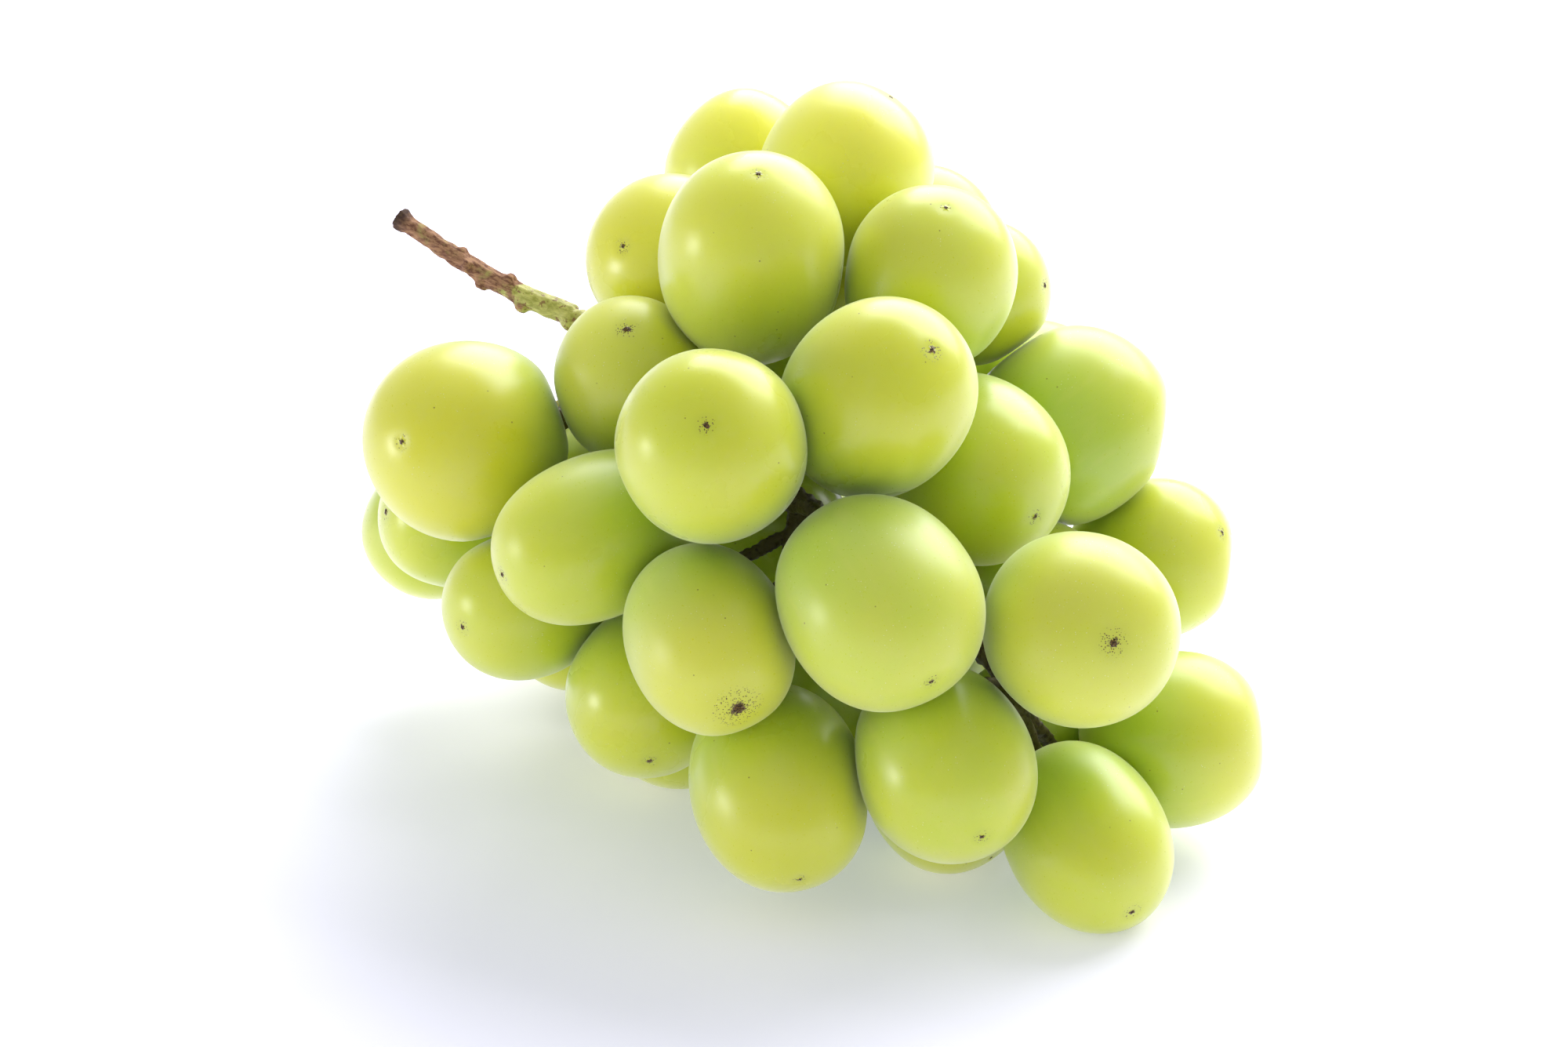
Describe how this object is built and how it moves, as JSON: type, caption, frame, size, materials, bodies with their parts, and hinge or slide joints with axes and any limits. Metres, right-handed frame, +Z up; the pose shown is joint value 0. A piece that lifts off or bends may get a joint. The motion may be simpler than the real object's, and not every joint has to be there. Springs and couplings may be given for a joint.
{
  "type": "bunch of grapes",
  "caption": "Bunch of large green table grapes on a branching woody stem, lying on its side.",
  "frame": {"origin": "middle of the bunch's footprint, on the surface that it rests on", "axes": "+X along the bunch from the cut end of its stem to its tip, +Z up, and the fuller front side faces -Y"},
  "size_m": [0.158, 0.1178, 0.1042],
  "materials": {
    "berry_skin": "smooth thin skin over clear pale green flesh, with a dull waxy bloom and rubbed glossy patches",
    "stem_wood": "rough brown bark on the stalk, turning green with brown flecks inside the bunch"
  },
  "bodies": {
    "root": {"peduncle": "stem_wood", "stem": "stem_wood", "crown_1": "berry_skin", "crown_2": "berry_skin", "crown_3": "berry_skin", "crown_4": "berry_skin", "crown_5": "berry_skin", "crown_6": "berry_skin", "ridge_1": "berry_skin", "ridge_2": "berry_skin", "ridge_3": "berry_skin", "ridge_4": "berry_skin", "shoulder_1": "berry_skin", "shoulder_2": "berry_skin", "shoulder_3": "berry_skin", "shoulder_4": "berry_skin", "shoulder_5": "berry_skin", "shoulder_6": "berry_skin", "face_1": "berry_skin", "face_2": "berry_skin", "face_3": "berry_skin", "face_4": "berry_skin", "flank_1": "berry_skin", "flank_2": "berry_skin", "flank_3": "berry_skin", "flank_4": "berry_skin", "keel_1": "berry_skin", "keel_2": "berry_skin", "keel_3": "berry_skin", "keel_4": "berry_skin", "back_1": "berry_skin", "back_2": "berry_skin", "back_3": "berry_skin", "back_4": "berry_skin", "back_5": "berry_skin", "back_6": "berry_skin", "back_7": "berry_skin", "heel_1": "berry_skin", "heel_2": "berry_skin", "heel_3": "berry_skin", "heel_4": "berry_skin", "heel_5": "berry_skin", "heel_6": "berry_skin", "tip_1": "berry_skin", "tip_2": "berry_skin", "tip_3": "berry_skin", "tip_4": "berry_skin", "tip_5": "berry_skin", "tip_6": "berry_skin"}
  },
  "joints": []
}
